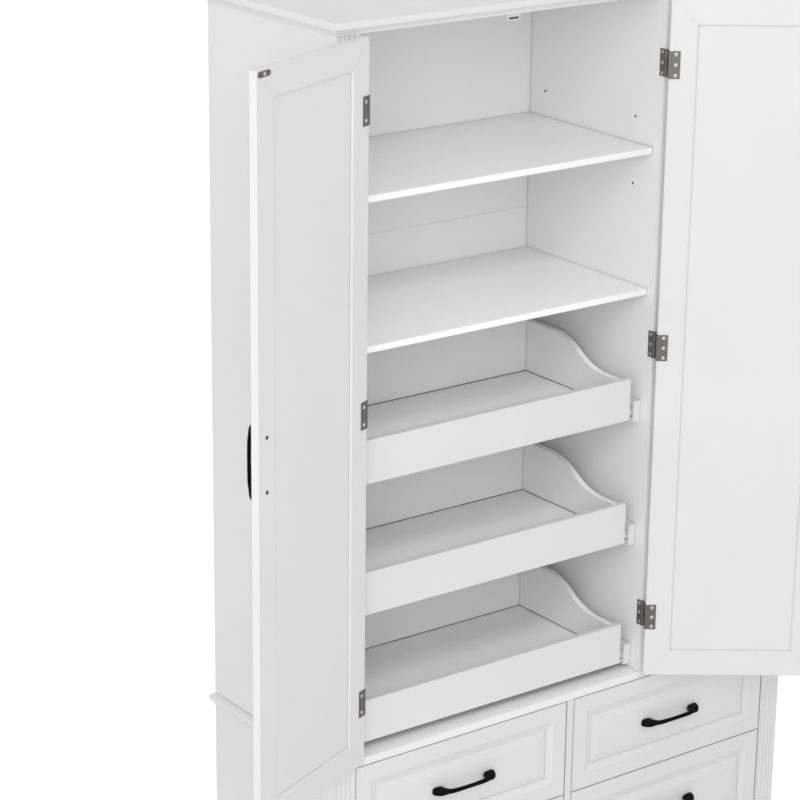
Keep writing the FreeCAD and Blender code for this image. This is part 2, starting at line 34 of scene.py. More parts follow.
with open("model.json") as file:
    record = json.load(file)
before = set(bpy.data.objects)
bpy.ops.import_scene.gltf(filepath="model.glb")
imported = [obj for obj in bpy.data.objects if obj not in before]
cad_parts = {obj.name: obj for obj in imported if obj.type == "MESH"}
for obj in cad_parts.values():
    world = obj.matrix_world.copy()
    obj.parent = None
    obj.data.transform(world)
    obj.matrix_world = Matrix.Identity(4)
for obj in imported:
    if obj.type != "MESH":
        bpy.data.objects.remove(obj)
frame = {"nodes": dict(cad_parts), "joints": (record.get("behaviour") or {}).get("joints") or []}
for startupName in ("Cube", "Light", "Camera"):
    startupObject = bpy.data.objects.get(startupName)
    if startupObject:
        bpy.data.objects.remove(startupObject)
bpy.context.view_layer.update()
nodes = frame["nodes"]
joints = {joint["name"]: joint for joint in frame["joints"]}
print("frame loaded:", len(nodes), "nodes")


# Materials

detail = {"cloud": 3, "rough": 4, "brush": 3, "grain": 2}
shading = {"middleLow": 0.3, "middleHigh": 0.7, "creaseSamples": 6, "creaseLow": 0.45,
           "creaseHigh": 0.85, "edgeSamples": 4, "edgeLow": 0.9}


def newMaterial(name, metallic, roughness):
    material = bpy.data.materials.new(name)
    material.use_nodes = True
    shader = material.node_tree.nodes["Principled BSDF"]
    shader.inputs["Metallic"].default_value = metallic
    shader.inputs["Roughness"].default_value = roughness
    return material, material.node_tree, shader


def addNode(tree, kind, settings=None, **inputs):
    node = tree.nodes.new(kind)
    for key, value in (settings or {}).items():
        setattr(node, key, value)
    for key, value in inputs.items():
        node.inputs[key].default_value = value
    return node


def noise(tree, scale, detailLevel, stretch=(1, 1, 1)):
    # a noise on the piece's own coordinates, longer along the axes with a small stretch
    place = addNode(tree, "ShaderNodeTexCoord")
    mapping = addNode(tree, "ShaderNodeMapping", Scale=stretch)
    texture = addNode(tree, "ShaderNodeTexNoise", Scale=scale, Detail=detailLevel)
    tree.links.new(place.outputs["Object"], mapping.inputs["Vector"])
    tree.links.new(mapping.outputs["Vector"], texture.inputs["Vector"])
    return texture.outputs["Fac"]


def mapRange(tree, value, fromLow, fromHigh, toLow, toHigh):
    node = addNode(tree, "ShaderNodeMapRange")
    for place, number in enumerate((fromLow, fromHigh, toLow, toHigh), start=1):
        node.inputs[place].default_value = number
    tree.links.new(value, node.inputs[0])
    return node.outputs[0]


def spread(tree, value, low, high):
    # maps a noise's middle range on to low and high
    return mapRange(tree, value, shading["middleLow"], shading["middleHigh"], low, high)


def multiply(tree, first, second):
    node = addNode(tree, "ShaderNodeMath", {"operation": "MULTIPLY"})
    tree.links.new(first, node.inputs[0])
    tree.links.new(second, node.inputs[1])
    return node.outputs[0]


def tint(tree, colour, factor):
    node = addNode(tree, "ShaderNodeVectorMath", {"operation": "SCALE"})
    node.inputs[0].default_value = colour
    tree.links.new(factor, node.inputs["Scale"])
    return node.outputs[0]


def paintedCreaseShade(tree, reach, darkest):
    # painted shade: inner corners and joints are darkened in the colour
    settings = {"samples": shading["creaseSamples"], "only_local": False}
    node = addNode(tree, "ShaderNodeAmbientOcclusion", settings, Distance=reach)
    return mapRange(tree, node.outputs["AO"], shading["creaseLow"], shading["creaseHigh"],
                    darkest, 1)


def paintedEdgeHighlight(tree, radius, highlight):
    # painted highlight: 1 on a flat face, nearer to highlight where the surface turns over an edge
    rounded = addNode(tree, "ShaderNodeBevel", {"samples": shading["edgeSamples"]}, Radius=radius)
    straight = addNode(tree, "ShaderNodeNewGeometry")
    match = addNode(tree, "ShaderNodeVectorMath", {"operation": "DOT_PRODUCT"})
    tree.links.new(rounded.outputs["Normal"], match.inputs[0])
    tree.links.new(straight.outputs["Normal"], match.inputs[1])
    edgeLight = mapRange(tree, match.outputs["Value"], shading["edgeLow"], 1, highlight, 1)
    return edgeLight, rounded.outputs["Normal"]


def bump(tree, height, strength, distance, normal=None):
    node = addNode(tree, "ShaderNodeBump", Strength=strength, Distance=distance)
    tree.links.new(height, node.inputs["Height"])
    if normal:
        tree.links.new(normal, node.inputs["Normal"])
    return node.outputs["Normal"]


def connect(tree, shader, colour, roughness, normal):
    tree.links.new(colour, shader.inputs["Base Color"])
    tree.links.new(roughness, shader.inputs["Roughness"])
    tree.links.new(normal, shader.inputs["Normal"])


paint = {"colour": (0.86, 0.86, 0.848), "specular": 0.4, "cloudScale": 5, "cloud": 0.012,
         "edge": 1.02, "edgeRadius": 0.0012, "creaseReach": 0.006, "creaseShade": 0.74,
         "rough": (0.34, 0.46), "roughScale": 22,
         "brushScale": 260, "brushBump": 0.05, "brushDepth": 0.0004}


def paintedBoard():
    material, tree, shader = newMaterial("paintedBoard", 0, sum(paint["rough"]) / 2)
    shader.inputs["Specular IOR Level"].default_value = paint["specular"]
    clouds = spread(tree, noise(tree, paint["cloudScale"], detail["cloud"]),
                    1 - paint["cloud"], 1 + paint["cloud"])
    # painted highlight: the edges are lighter in the colour
    edgeLight, softNormal = paintedEdgeHighlight(tree, paint["edgeRadius"], paint["edge"])
    # painted shade: the inner corners and joints are darker in the colour
    shade = paintedCreaseShade(tree, paint["creaseReach"], paint["creaseShade"])
    tone = multiply(tree, multiply(tree, clouds, edgeLight), shade)
    rough = spread(tree, noise(tree, paint["roughScale"], detail["rough"]), *paint["rough"])
    brushing = noise(tree, paint["brushScale"], detail["brush"])
    normal = bump(tree, brushing, paint["brushBump"], paint["brushDepth"], softNormal)
    connect(tree, shader, tint(tree, paint["colour"], tone), rough, normal)
    return material


ironwork = {"colour": (0.004, 0.004, 0.0042), "specular": 0.05, "cloudScale": 60,
            "cloud": (0.9, 1.4), "edge": 1.6, "edgeRadius": 0.001,
            "rough": (0.38, 0.50), "roughScale": 90,
            "grainScale": 1500, "grainBump": 0.12, "grainDepth": 0.0002}


def blackIron():
    material, tree, shader = newMaterial("blackIron", 0, sum(ironwork["rough"]) / 2)
    shader.inputs["Specular IOR Level"].default_value = ironwork["specular"]
    clouds = spread(tree, noise(tree, ironwork["cloudScale"], detail["cloud"]),
                    *ironwork["cloud"])
    # painted highlight: the edges are lighter in the colour
    edgeLight = paintedEdgeHighlight(tree, ironwork["edgeRadius"], ironwork["edge"])[0]
    tone = multiply(tree, clouds, edgeLight)
    rough = spread(tree, noise(tree, ironwork["roughScale"], detail["rough"]),
                   *ironwork["rough"])
    grain = noise(tree, ironwork["grainScale"], detail["grain"])
    normal = bump(tree, grain, ironwork["grainBump"], ironwork["grainDepth"])
    connect(tree, shader, tint(tree, ironwork["colour"], tone), rough, normal)
    return material


plating = {"cloudScale": 40, "cloud": (0.93, 1.05), "edgeRadius": 0.0004,
           "brushScale": 900, "brushBump": 0.08, "brushDepth": 0.0001,
           # which way the fine brushing is drawn out
           "allWays": (1, 1, 1), "alongX": (0.05, 1, 1), "alongZ": (1, 1, 0.04)}


def metal(name, colour, rough, brushed, edge):
    # plated metal, lightly brushed, with a painted highlight over its edges
    material, tree, shader = newMaterial(name, 1, sum(rough) / 2)
    clouds = spread(tree, noise(tree, plating["cloudScale"], detail["cloud"]), *plating["cloud"])
    # painted highlight: the edges are lighter in the colour
    edgeLight, softNormal = paintedEdgeHighlight(tree, plating["edgeRadius"], edge)
    brushing = noise(tree, plating["brushScale"], detail["brush"], plating[brushed])
    normal = bump(tree, brushing, plating["brushBump"], plating["brushDepth"], softNormal)
    connect(tree, shader, tint(tree, colour, multiply(tree, clouds, edgeLight)),
            spread(tree, brushing, *rough), normal)
    return material


coating = {"cloudScale": 30, "cloud": (0.985, 1.012), "edge": 1.04, "edgeRadius": 0.0005,
           "creaseReach": 0.004, "creaseShade": 0.7, "roughScale": 120,
           "roughDetail": 3, "grainDepth": 0.0002}


def coated(name, colour, rough, grainScale, grainBump):
    # powder coat or moulded plastic: a fine pebble and a soft sheen
    material, tree, shader = newMaterial(name, 0, sum(rough) / 2)
    clouds = spread(tree, noise(tree, coating["cloudScale"], detail["cloud"]), *coating["cloud"])
    # painted highlight: the edges are lighter in the colour
    edgeLight, softNormal = paintedEdgeHighlight(tree, coating["edgeRadius"], coating["edge"])
    # painted shade: the inner corners and joints are darker in the colour
    shade = paintedCreaseShade(tree, coating["creaseReach"], coating["creaseShade"])
    tone = multiply(tree, multiply(tree, clouds, edgeLight), shade)
    sheen = spread(tree, noise(tree, coating["roughScale"], coating["roughDetail"]), *rough)
    grain = noise(tree, grainScale, detail["grain"])
    normal = bump(tree, grain, grainBump, coating["grainDepth"], softNormal)
    connect(tree, shader, tint(tree, colour, tone), sheen, normal)
    return material


# each metal's colour, roughness, brushing and painted edge highlight, each coat's colour, roughness
# and grain
finishes = {
    "painted_board": paintedBoard(),
    "black_metal": blackIron(),
    "hinge_metal": metal("bronzedNickel", (0.21, 0.195, 0.178), (0.34, 0.50), "alongZ", 1.25),
    "runner_metal": coated("whitePowderCoat", (0.80, 0.80, 0.79), (0.36, 0.50), 1400, 0.10),
    "peg_metal": metal("nickelPlate", (0.62, 0.61, 0.59), (0.16, 0.28), "alongX", 1.2),
    "catch_plastic": coated("whitePlastic", (0.82, 0.82, 0.81), (0.40, 0.55), 1100, 0.08),
    "magnet": metal("darkPlate", (0.16, 0.16, 0.17), (0.35, 0.5), "alongX", 1.5),
}
screwZinc = metal("screwZinc", (0.66, 0.65, 0.62), (0.22, 0.34), "allWays", 1.2)
screwBronze = metal("screwBronze", (0.12, 0.085, 0.06), (0.30, 0.42), "allWays", 1.3)
camZinc = metal("camZinc", (0.60, 0.60, 0.58), (0.30, 0.44), "allWays", 1.3)
deepShade = coated("deepShade", (0.028, 0.026, 0.024), (0.6, 0.75), 900, 0.05)
seamShade = coated("seamShade", (0.66, 0.66, 0.65), (0.5, 0.6), 900, 0.05)


def dressNodes():
    for node in nodes.values():
        for place in node.material_slots:
            place.material = finishes[place.material.name.split(".")[0]]


dressNodes()
print("materials set")


# Helpers for new pieces

nearly = {"same": 0.000001, "close": 0.00001}


def deselectAll():
    bpy.ops.object.select_all(action="DESELECT")


def editPiece(piece, mode="FACE"):
    deselectAll()
    bpy.context.view_layer.objects.active = piece
    piece.select_set(True)
    bpy.ops.object.mode_set(mode="EDIT")
    bpy.ops.mesh.select_mode(type=mode)


def pickFaces(piece, test):
    # leaves edit mode open with only the faces that pass the test selected
    editPiece(piece)
    bpy.ops.mesh.select_all(action="DESELECT")
    bpy.ops.object.mode_set(mode="OBJECT")
    for face in piece.data.polygons:
        face.select = test(face)
    bpy.ops.object.mode_set(mode="EDIT")


def pickEdges(piece, test):
    editPiece(piece, "EDGE")
    bpy.ops.mesh.select_all(action="DESELECT")
    bpy.ops.object.mode_set(mode="OBJECT")
    for edge in piece.data.edges:
        ends = [piece.data.vertices[index].co for index in edge.vertices]
        edge.select = test(*ends)
    bpy.ops.object.mode_set(mode="EDIT")


def closeEdit():
    bpy.ops.object.mode_set(mode="OBJECT")


def applyPlace(piece):
    deselectAll()
    bpy.context.view_layer.objects.active = piece
    piece.select_set(True)
    bpy.ops.object.transform_apply(location=True, rotation=True, scale=True)


def applyModifiers(piece):
    bpy.context.view_layer.objects.active = piece
    for modifier in list(piece.modifiers):
        bpy.ops.object.modifier_apply(modifier=modifier.name)


def outwards(piece):
    editPiece(piece)
    bpy.ops.mesh.select_all(action="SELECT")
    bpy.ops.mesh.remove_doubles(threshold=nearly["close"])
    bpy.ops.mesh.normals_make_consistent(inside=False)
    closeEdit()


def softShade(piece, degrees=40):
    deselectAll()
    bpy.context.view_layer.objects.active = piece
    piece.select_set(True)
    bpy.ops.object.shade_smooth_by_angle(angle=math.radians(degrees))


def copyTo(master, place):
    # a copy with its own mesh, put where the matrix says
    piece = master.copy()
    piece.data = master.data.copy()
    bpy.context.collection.objects.link(piece)
    piece.data.transform(place)
    if place.determinant() < 0:
        piece.data.flip_normals()
    return piece


def joined(pieces, name):
    deselectAll()
    for piece in pieces:
        piece.select_set(True)
    bpy.context.view_layer.objects.active = pieces[0]
    if len(pieces) > 1:
        bpy.ops.object.join()
    pieces[0].name = name
    pieces[0].data.name = name
    return pieces[0]


def finishPiece(piece, body, material):
    piece.data.materials.clear()
    piece.data.materials.append(material)
    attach(piece, body)


def drop(master):
    bpy.data.objects.remove(master)


def shiftBy(x, y, z):
    return Matrix.Translation(Vector((x, y, z)))


def aboutX(degrees):
    return Matrix.Rotation(math.radians(degrees), 4, "X")


def aboutY(degrees):
    return Matrix.Rotation(math.radians(degrees), 4, "Y")


def aboutZ(degrees):
    return Matrix.Rotation(math.radians(degrees), 4, "Z")


def smallBar(length, depth, height, centre, easedBy):
    # a bar along +X with chamfered edges, its middle at the centre
    deselectAll()
    bpy.ops.mesh.primitive_cube_add(size=1, location=centre)
    piece = bpy.context.object
    piece.scale = (length, depth, height)
    applyPlace(piece)
    editPiece(piece)
    bpy.ops.mesh.select_all(action="SELECT")
    bpy.ops.mesh.bevel(offset=easedBy, segments=1, affect="EDGES")
    closeEdit()
    return piece


# Doors as drawn shut: the pin on the Z axis, the door towards +X, its back at +Y

mirrorX = Matrix.Scale(-1, 4, Vector((1, 0, 0)))
door = {"thickness": 0.015, "border": 0.052, "bevel": 0.003, "meetingPlay": 0.001,
        "pinProud": 0.004, "pinOutset": 0.001, "edge": 0.0035,
        "wrap": 0.020, "leaf": 0.001, "leafHeight": 0.051,
        "hingeFromEnd": 0.126, "middleHingeRise": 0.674}
trayNames = ("bottom", "middle", "top")
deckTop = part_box("deck_board")[1].z
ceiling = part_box("partition")[1].z
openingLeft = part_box("post_left")[1].x


def doorSet():
    doors = {}
    left, middle = joints["door_left_hinge"], joints["door_middle_hinge"]
    leftPin, middlePin = Vector(left["pos_m"]), Vector(middle["pos_m"])
    pinY = leftPin.y
    rightPin = Vector((-openingLeft + door["pinOutset"], pinY, 0))
    doubleWidth = (middlePin.x - leftPin.x) / 2 - door["edge"] - door["meetingPlay"]
    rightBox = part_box("door_right_frame")
    doors["left"] = {"body": "door_left", "width": doubleWidth,
                     "hang": shiftBy(leftPin.x, pinY, 0) @ aboutZ(left["range_deg"][0])}
    doors["middle"] = {"body": "door_middle", "width": doubleWidth,
                       "hang": shiftBy(middlePin.x, pinY, 0)
                       @ aboutZ(-middle["range_deg"][0]) @ mirrorX}
    doors["right"] = {"body": "carcass", "width": rightBox[1].x - rightBox[0].x,
                      "hang": shiftBy(rightPin.x, pinY, 0) @ mirrorX}
    return doors


doors = doorSet()
hingeHeights = [deckTop + door["hingeFromEnd"], deckTop + door["middleHingeRise"],
                ceiling - door["hingeFromEnd"]]
print("doors:", {name: round(one["width"], 4) for name, one in doors.items()})


# Pulls

pullForm = {"length": 0.146, "screwCentres": 0.096, "rise": 0.675, "fromEdge": 0.025,
            "fieldDepth": 0.0015, "barWidth": 0.008, "outer": 0.024, "under": 0.0175,
            "softness": 3, "smoothTo": 60,
            # at each loop: way from the end, outer face, under face and width
            "sections": ((0.000, 0.0050, 0.0000, 0.0100),
                         (0.003, 0.0120, 0.0000, 0.0136),
                         (0.009, 0.0192, 0.0000, 0.0150),
                         (0.017, 0.0219, 0.0000, 0.0138),
                         (0.025, 0.0226, 0.0000, 0.0108),
                         (0.029, 0.0228, 0.0115, 0.0101),
                         (0.036, 0.0231, 0.0158, 0.0099),
                         (0.048, 0.0234, 0.0170, 0.0097))}


def onLoop(corner, place, depth):
    # whether a corner of the uncut bar lies on the loop at a place and on the face at a depth
    return (abs(abs(corner.x) - place) < nearly["close"]
            and abs(corner.y + depth) < nearly["same"])


def pullMaster():
    # a bow along X standing off a face at y = 0 towards -Y, with broad round feet
    form = pullForm
    reach = form["length"] / 2
    outer, under = form["outer"], form["under"]
    deselectAll()
    bpy.ops.mesh.primitive_cube_add(size=1, location=(0, -(outer + under) / 2, 0))
    piece = bpy.context.object
    piece.scale = (2 * reach, outer - under, form["barWidth"])
    applyPlace(piece)
    editPiece(piece)
    loops = [reach - section[0] for section in form["sections"][1:]] + [0]
    for place in sorted(set(loops + [-one for one in loops])):
        bpy.ops.mesh.select_all(action="SELECT")
        bpy.ops.mesh.bisect(plane_co=(place, 0, 0), plane_no=(1, 0, 0))
    closeEdit()
    for fromEnd, outerAt, underAt, width in form["sections"]:
        place = reach - fromEnd
        for old, new in ((outer, outerAt), (under, underAt)):
            pickEdges(piece, lambda a, b: a.x * b.x > 0 and onLoop(a, place, old)
                      and onLoop(b, place, old))
            bpy.ops.transform.translate(value=(0, old - new, 0))
            bpy.ops.transform.resize(value=(1, 1, width / form["barWidth"]),
                                     center_override=(0, 0, 0))
            closeEdit()
    pickEdges(piece, lambda a, b: max(abs(a.y), abs(b.y)) < nearly["same"])
    bpy.ops.transform.edge_crease(value=1.0)
    closeEdit()
    soft = piece.modifiers.new("soft", "SUBSURF")
    soft.levels = soft.render_levels = form["softness"]
    applyModifiers(piece)
    outwards(piece)
    softShade(piece, form["smoothTo"])
    return piece


def makePulls():
    form = pullForm
    master = pullMaster()
    for name, one in doors.items():
        upright = shiftBy(door["edge"] + one["width"] - form["fromEdge"], door["pinProud"],
                          deckTop + form["rise"]) @ aboutY(90)
        piece = joined([copyTo(master, one["hang"] @ upright)], "pullDoor" + name.capitalize())
        finishPiece(piece, one["body"], finishes["black_metal"])
        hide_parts("door_" + name + "_pull")
    for row in ("lower", "upper"):
        for column in ("left", "right"):
            node = "drawer_" + row + "_" + column
            low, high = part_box(node + "_front")
            place = shiftBy((low.x + high.x) / 2, low.y + form["fieldDepth"],
                            (low.z + high.z) / 2)
            piece = joined([copyTo(master, place)],
                           "pullDrawer" + row.capitalize() + column.capitalize())
            finishPiece(piece, node, finishes["black_metal"])
            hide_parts(node + "_pull")
    drop(master)


makePulls()
print("pulls made")


# Screws and connectors

screwForm = {"headRadius": 0.0036, "headHeight": 0.0012, "sunk": 0.0003, "sides": 20,
             "crown": 0.0007, "crownSteps": 3,
             "slotLength": 0.0041, "slotWidth": 0.0009, "slotDepth": 0.00045}


def carve(piece, cutter):
    cut = piece.modifiers.new("cut", "BOOLEAN")
    cut.operation = "DIFFERENCE"
    cut.object = cutter
    cut.solver = "EXACT"
    applyModifiers(piece)
    drop(cutter)


def turnedDisc(radius, low, high, sides):
    # a round blank standing on +Z between two heights
    deselectAll()
    bpy.ops.mesh.primitive_cylinder_add(vertices=sides, radius=radius, depth=high - low,
                                        location=(0, 0, (low + high) / 2))
    piece = bpy.context.object
    applyPlace(piece)
    return piece


def bevelTop(piece, top, width, segments):
    pickFaces(piece, lambda face: face.center.z > top - nearly["same"])
    bpy.ops.mesh.bevel(offset=width, segments=segments, affect="EDGES")
    closeEdit()


def cutCross(piece, top, length, width, depth):
    # two crossed slots in the top face
    for turn in (0, 90):
        bpy.ops.mesh.primitive_cube_add(size=1, location=(0, 0, top))
        bar = bpy.context.object
        bar.scale = (length, width, 2 * depth)
        bar.rotation_euler = Euler((0, 0, math.radians(turn)))
        applyPlace(bar)
        carve(piece, bar)


def crossScrew():
    # a countersunk screw's domed head, lying on z = 0, with a cross recess
    form = screwForm
    top = form["headHeight"] - form["sunk"]
    piece = turnedDisc(form["headRadius"], -form["sunk"], top, form["sides"])
    bevelTop(piece, top, form["crown"], form["crownSteps"])
    cutCross(piece, top, form["slotLength"], form["slotWidth"], form["slotDepth"])
    outwards(piece)
    softShade(piece)
    return piece


camForm = {"radius": 0.0074, "proud": 0.0007, "sunk": 0.0005, "sides": 32,
           "rim": 0.0005, "rimSteps": 2,
           "grooveOuter": 0.0068, "grooveInner": 0.0064, "grooveDepth": 0.0005,
           "socketRadius": 0.0026, "socketDepth": 0.0006, "socketSides": 6,
           "fromFront": 0.030, "frontHeights": (0.034, 0.067),
           "fromRear": 0.030, "rearHeights": (0.034, 0.100)}


def camLock():
    # the face of a connecting cam in a bored hole: a rim, a turned groove and a deep socket
    form = camForm
    top = form["proud"]
    piece = turnedDisc(form["radius"], -form["sunk"], top, form["sides"])
    bevelTop(piece, top, form["rim"], form["rimSteps"])
    ring = turnedDisc(form["grooveOuter"], top - form["grooveDepth"], top * 2, form["sides"])
    core = turnedDisc(form["grooveInner"], -top, top * 3, form["sides"])
    carve(ring, core)
    carve(piece, ring)
    socket = turnedDisc(form["socketRadius"], top - form["socketDepth"], top * 2,
                        form["socketSides"])
    carve(piece, socket)
    outwards(piece)
    softShade(piece)
    return piece


def paintShadeInPits(piece, floor, radius, material):
    # painted shade: the low faces of the socket, the groove and the side get the dark material
    piece.data.materials.append(material)
    for face in piece.data.polygons:
        if face.center.xy.length < radius and face.center.z < floor:
            face.material_index = 1


def scatter(master, places, name, body, material):
    piece = joined([copyTo(master, place) for place in places], name)
    finishPiece(piece, body, material)


screwPlan = {"leafShare": 0.60, "spreadShare": 0.38, "pairSpreadShare": 0.315,
             "cabinetFromPin": 0.0085, "cabinetSunk": 0.00055,
             "strikeFromEdge": 0.022, "strikeFromTop": 0.010}


def leafOffsets(name):
    # the left door's leaves carry two screws each and the others three
    if name == "left":
        reach = door["leafHeight"] * screwPlan["pairSpreadShare"]
        return (-reach, reach)
    reach = door["leafHeight"] * screwPlan["spreadShare"]
    return (-reach, 0, reach)


def makeDoorScrews():
    screw = crossScrew()
    backFace = door["pinProud"] + door["thickness"]
    wrapX = door["edge"] + door["wrap"] * screwPlan["leafShare"]
    cabinetFace = door["pinOutset"] + door["leaf"] - screwPlan["cabinetSunk"]
    pullZ = deckTop + pullForm["rise"]
    cabinetPlaces = []
    for name, one in doors.items():
        pin = one["hang"].to_translation()
        flip = Matrix.Identity(4) if name == "left" else mirrorX
        leafPlaces = []
        for z in hingeHeights:
            for offset in leafOffsets(name):
                leafPlaces.append(one["hang"] @ shiftBy(wrapX, backFace + door["leaf"], z + offset)
                                  @ aboutX(-90))
                cabinetPlaces.append(shiftBy(pin.x, pin.y, 0) @ flip
                                     @ shiftBy(cabinetFace, screwPlan["cabinetFromPin"],
                                               z + offset)
                                     @ aboutY(90))
        title = name.capitalize()
        scatter(screw, leafPlaces, "hingeScrews" + title, one["body"], screwZinc)
        pullX = door["edge"] + one["width"] - pullForm["fromEdge"]
        reach = pullForm["screwCentres"] / 2
        pullPlaces = [one["hang"] @ shiftBy(pullX, backFace, pullZ + height) @ aboutX(-90)
                      for height in (-reach, reach)]
        scatter(screw, pullPlaces, "pullScrews" + title, one["body"], screwBronze)
        strikePlace = one["hang"] @ shiftBy(door["edge"] + one["width"] - screwPlan["strikeFromEdge"],
                                            backFace + door["leaf"],
                                            ceiling - screwPlan["strikeFromTop"]) @ aboutX(-90)
        scatter(screw, [strikePlace], "strikeScrew" + title, one["body"], screwZinc)
    scatter(screw, cabinetPlaces, "hingeScrewsCabinet", "carcass", screwZinc)
    drop(screw)


makeDoorScrews()
print("door screws made")


def makeTrayCams():
    form = camForm
    cam = camLock()
    cam.data.materials.clear()
    cam.data.materials.append(camZinc)
    paintShadeInPits(cam, form["proud"] - form["grooveDepth"] / 2, form["radius"], deepShade)
    for name in trayNames:
        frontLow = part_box("tray_" + name + "_front")[0]
        boxLow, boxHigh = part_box("tray_" + name + "_box")
        places = []
        for x, turn in ((boxLow.x, -90), (boxHigh.x, 90)):
            for y, heights in ((frontLow.y + form["fromFront"], form["frontHeights"]),
                               (boxHigh.y - form["fromRear"], form["rearHeights"])):
                places += [shiftBy(x, y, frontLow.z + height) @ aboutY(turn)
                           for height in heights]
        piece = joined([copyTo(cam, place) for place in places], "cams" + name.capitalize())
        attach(piece, "tray_" + name)
    drop(cam)


makeTrayCams()
print("tray cams made")


# Painted shade: dark strips in the gaps round the tray floors and dark cups in the free peg holes

gapForm = {"floorRise": 0.022, "wall": 0.012, "height": 0.0013, "proud": 0.0002,
           "sunk": 0.0004, "eased": 0.0001}


def gapShadeStrip(length):
    # painted shade: a dark strip for the shaded line of a gap, along +X from the origin, standing on
    # z = 0
    form = gapForm
    return smallBar(length, form["proud"] + form["sunk"], form["height"],
                    (length / 2, 0, form["height"] / 2), form["eased"])


def makeTrayGapShade():
    form = gapForm
    for name in trayNames:
        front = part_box("tray_" + name + "_front")[0]
        low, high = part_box("tray_" + name + "_box")
        inset = form["wall"] + (form["proud"] - form["sunk"]) / 2
        floor = front.z + form["floorRise"]
        start = front.y + 2 * form["wall"]
        deep = gapShadeStrip(high.y - form["wall"] - start)
        wide = gapShadeStrip(high.x - low.x - 2 * form["wall"])
        places = [shiftBy(low.x + inset, start, floor) @ aboutZ(90),
                  shiftBy(high.x - inset, start, floor) @ aboutZ(90)]
        strips = [copyTo(deep, place) for place in places]
        strips.append(copyTo(wide, shiftBy(low.x + form["wall"], high.y - inset, floor)))
        piece = joined(strips, "floorGapShade" + name.capitalize())
        finishPiece(piece, "tray_" + name, deepShade)
        drop(deep)
        drop(wide)


holeForm = {"radius": 0.00248, "wall": 0.0001, "depth": 0.006, "sides": 12, "rise": 0.972,
            "pitch": 0.064, "freeRows": (0, 2), "fromFront": 0.0735, "fromBack": 0.0455}


def holeCup():
    # an open cup facing +Z with its rim on z = 0
    form = holeForm
    piece = turnedDisc(form["radius"], -form["depth"], 0, form["sides"])
    bore = turnedDisc(form["radius"] - form["wall"], form["wall"] - form["depth"], form["depth"],
                      form["sides"])
    carve(piece, bore)
    return piece


def makeHoleCups():
    form = holeForm
    cup = holeCup()
    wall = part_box("partition")[0]
    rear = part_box("back_panel_lower")[0].y
    places = []
    for x, turn in ((openingLeft, 90), (wall.x, -90)):
        for y in (wall.y + form["fromFront"], rear - form["fromBack"]):
            for row in form["freeRows"]:
                z = deckTop + form["rise"] + row * form["pitch"]
                places.append(shiftBy(x, y, z) @ aboutY(turn))
    # painted shade: near-black cups darken the insides of the free peg holes
    scatter(cup, places, "pegHoleShade", "carcass", deepShade)
    drop(cup)


makeTrayGapShade()
makeHoleCups()
print("gaps and holes shaded")


# Mitre seams on the door frames

seamForm = {"width": 0.0004, "height": 0.00012, "eased": 0.000048, "clear": 0.0015}


def seamMaster(length):
    # a hair line in the paint along +X from the origin
    form = seamForm
    return smallBar(length, form["height"], form["width"], (length / 2, 0, 0), form["eased"])


def seamPlaces(width, height, start):
    # a diagonal at each corner of a frame that stands in the XZ plane from the origin
    corners = ((0, 0, 45), (width, 0, 135), (width, height, 225), (0, height, 315))
    return [shiftBy(x, 0, z) @ aboutY(-turn) @ shiftBy(start * math.sqrt(2), 0, 0)
            for x, z, turn in corners]


def makeSeams():
    form = seamForm
    flat = door["border"] - door["bevel"] - form["clear"]
    master = seamMaster(flat * math.sqrt(2))
    for name, one in doors.items():
        low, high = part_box("door_" + name + "_frame")
        places = []
        for face in (door["pinProud"], door["pinProud"] + door["thickness"]):
            corner = one["hang"] @ shiftBy(door["edge"], face, low.z)
            places += [corner @ place
                       for place in seamPlaces(one["width"], high.z - low.z, form["clear"])]
        scatter(master, places, "mitresDoor" + name.capitalize(), one["body"], seamShade)
    drop(master)


makeSeams()
print("seams made")


# Soft edges on the single boards

easing = {"width": 0.0008, "segments": 2, "angle": 40,
          "boards": ("side_panel_left", "side_panel_right", "side_liner_right", "deck_board",
                     "bottom_board", "lower_divider", "top_panel", "fixed_shelf",
                     "adjustable_shelf", "base_rail", "base_bearer", "back_panel_lower",
                     "back_panel_upper")}


def easeBoards():
    for name in easing["boards"]:
        board = nodes[name]
        weld = board.modifiers.new("weld", "WELD")
        weld.merge_threshold = nearly["close"]
        ease = board.modifiers.new("ease", "BEVEL")
        ease.width = easing["width"]
        ease.segments = easing["segments"]
        ease.limit_method = "ANGLE"
        ease.angle_limit = math.radians(easing["angle"])
        ease.harden_normals = True


easeBoards()
print("boards eased")


# Floor, light and camera

studio = {"floorReach": 14.0, "floorDrop": 0.0005, "floorColour": (0.82, 0.82, 0.82, 1),
          "floorRoughness": 0.9, "floorGlow": 0.55, "world": 0.68,
          "side": {"kind": "AREA", "place": (-5.5, -1.2, 2.6), "size": 3.0, "power": 31,
                   "aim": (0, 0, 1)},
          "front": {"kind": "AREA", "place": (-3.2, -4.2, 2.9), "size": 2.5, "power": 78,
                    "aim": (0, 0, 1)},
          "inside": {"kind": "SPOT", "place": (-0.8, -2.6, 3.6), "size": 0.5, "power": 182,
                     "aim": (-0.17, -0.1, 1.1), "cone": 26, "blend": 0.6,
                     "lights": ("back_panel_lower", "back_panel_upper", "partition",
                                "side_liner_left", "side_liner_right", "fixed_shelf",
                                "adjustable_shelf", "shelf_pegs", "tray_top_box",
                                "tray_middle_box", "tray_bottom_box", "deck_board")}}


